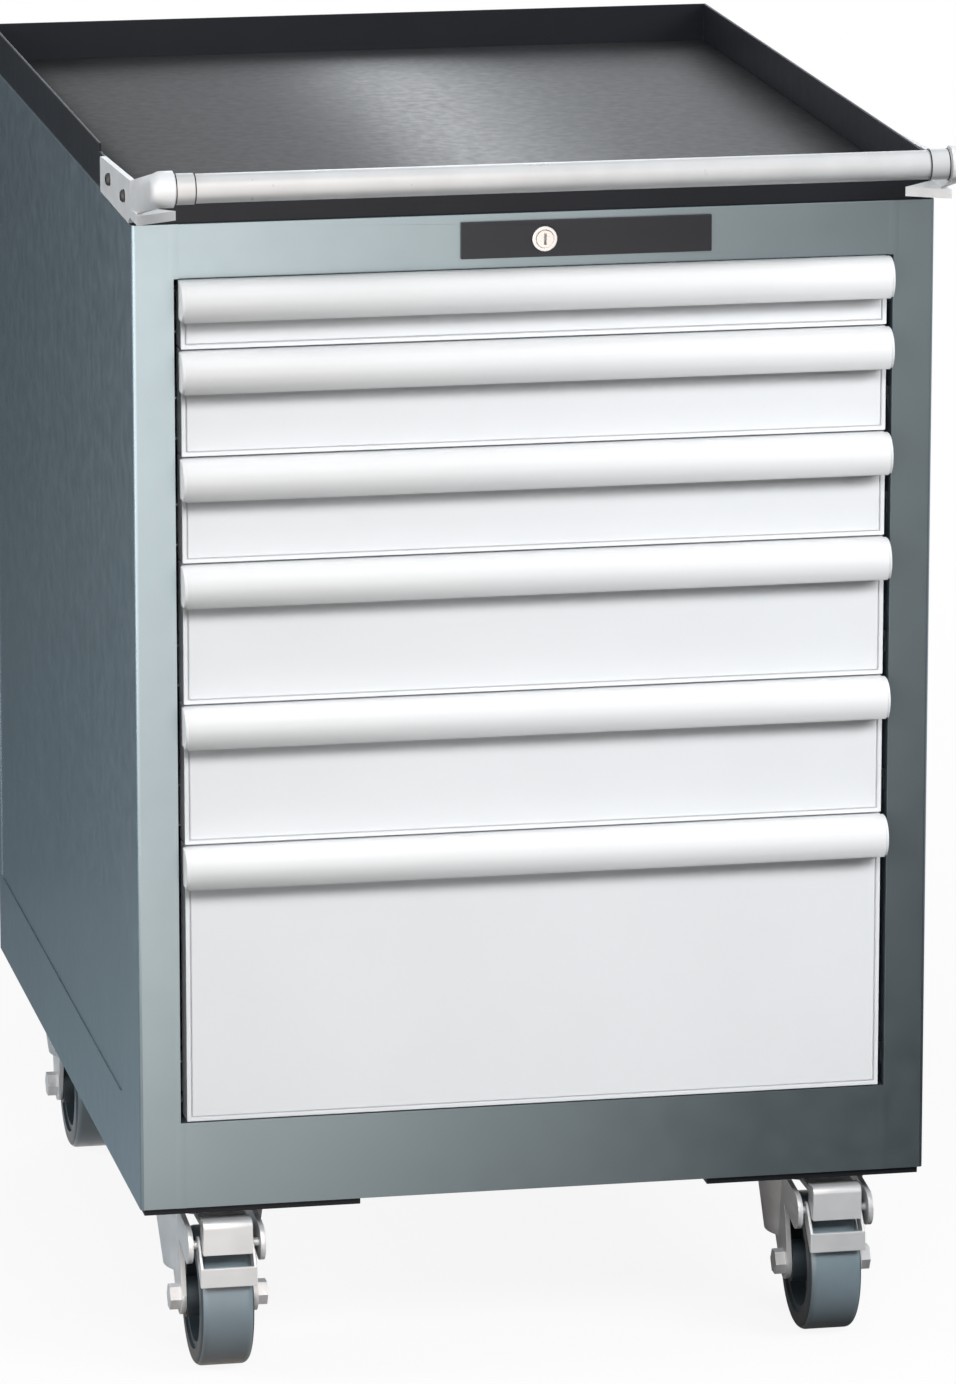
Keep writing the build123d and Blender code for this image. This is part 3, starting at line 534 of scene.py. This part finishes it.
def reflector(name, start, along, up, stops, tint=WHITE):
    """A studio card that only reflections see, from a corner along two edges."""
    start, along, up = Vector(start), Vector(along), Vector(up)
    mesh = bmesh.new()
    glow = mesh.verts.layers.float_color.new("glow")
    columns = []
    for share, near, far in stops:
        column = []
        for step in range(CARD_STEPS + 1):
            rise = step / CARD_STEPS
            vertex = mesh.verts.new(start + along * share + up * rise)
            value = near + (far - near) * rise
            vertex[glow] = (*(channel * value for channel in tint), 1.0)
            column.append(vertex)
        columns.append(column)
    for left, right in zip(columns, columns[1:]):
        for step in range(CARD_STEPS):
            mesh.faces.new((left[step], right[step], right[step + 1], left[step + 1]))
    made, tree, output = bare_material(name)
    light = tree.nodes.new("ShaderNodeEmission")
    attribute = tree.nodes.new("ShaderNodeAttribute")
    attribute.attribute_name = "glow"
    tree.links.new(attribute.outputs["Color"], light.inputs["Color"])
    tree.links.new(light.outputs[0], output)
    card = linked(name, mesh, made)
    card.visible_camera = False
    card.visible_diffuse = False
    card.visible_shadow = False
    card.visible_transmission = False


def plain_stops(near, far):
    """Stops of a card that is the same along its whole length."""
    return [(0.0, near, far), (1.0, near, far)]


def studio():
    """Floor, world, lamps and reflecting cards."""
    white_world(ambient=0.06)
    white_floor(shadow_share=0.10, near=0.6, far=2.4)
    area_light("key", place=(-0.35, -5.1, 4.1), target=FRONT_MIDDLE, size=(3.2, 1.6), power=165.0)
    area_light("fill", place=(1.7, -2.0, 1.7), target=FRONT_MIDDLE, size=(1.4, 1.0), power=52.0)
    area_light("left", place=(-3.2, -0.2, 1.6), target=LEFT_MIDDLE, size=(1.2, 1.2), power=52.0)
    area_light("low", place=(-0.9, -2.7, 0.75), target=BOTTOM_RAIL, size=(0.5, 0.3), power=0.22, spread=0.45)
    area_light("back", place=(0.8, 3.2, 2.4), target=BACK_MIDDLE, size=(1.6, 1.2), power=40.0)
    reflector("front_card", start=(-1.3, -0.85, CARD_LIFT), along=(2.6, 0.0, 0.0), up=(0.0, 0.0, 1.5),
              stops=FRONT_STOPS, tint=WARM)
    reflector("foot_card", start=(-1.3, -0.85, FOOT_LIFT), along=(2.3, 0.0, 0.0), up=(0.0, 0.95, 0.0),
              stops=FOOT_STOPS, tint=WARM)
    reflector("side_card", start=(-1.8, 1.0, CARD_LIFT), along=(2.0, 0.0, 0.0), up=(0.0, 0.0, 0.84),
              stops=plain_stops(near=0.20, far=0.03), tint=COOL)
    reflector("floor_card", start=(-1.8, -0.34, CARD_LIFT), along=(1.5, 0.0, 0.0), up=(0.0, 1.33, 0.0),
              stops=plain_stops(near=0.52, far=0.26), tint=COOL)
    reflector("mat_card", start=(-3.3, 2.2, 0.86), along=(7.2, 0.0, 0.0), up=(0.4, 0.0, 2.4),
              stops=[(share, value, value) for share, value in MAT_STREAK], tint=PALE)
    reflector("top_card", start=(-1.0, -1.2, 2.1), along=(2.0, 0.0, 0.0), up=(0.0, 1.4, 0.0),
              stops=plain_stops(near=2.0, far=2.0))
    reflector("edge_card", start=(-1.75, -0.55, CARD_LIFT), along=(0.8, -1.15, 0.0), up=(0.0, 0.0, 1.6),
              stops=plain_stops(near=6.0, far=6.0))


def camera():
    """Long lens at the photograph's viewing angle."""
    data = bpy.data.cameras.new("camera")
    data.sensor_width = SENSOR
    data.lens = FOCAL_PIXELS / PHOTO_HEIGHT * SENSOR
    data.shift_x = -CAMERA_SHIFT_PIXELS / PHOTO_HEIGHT
    data.clip_end = CAMERA_REACH
    eye = bpy.data.objects.new("camera", data)
    bpy.context.scene.collection.objects.link(eye)
    turn = Matrix.Rotation(-math.radians(CAMERA_YAW), 4, "Z")
    tilt = Matrix.Rotation(math.radians(90.0 - CAMERA_PITCH), 4, "X")
    roll = Matrix.Rotation(math.radians(CAMERA_ROLL), 4, "Z")
    eye.matrix_world = Matrix.Translation(CAMERA_PLACE) @ turn @ tilt @ roll
    bpy.context.scene.camera = eye


scene = bpy.context.scene
scene.view_settings.view_transform = "Standard"
dress_nodes()
studio()
camera()
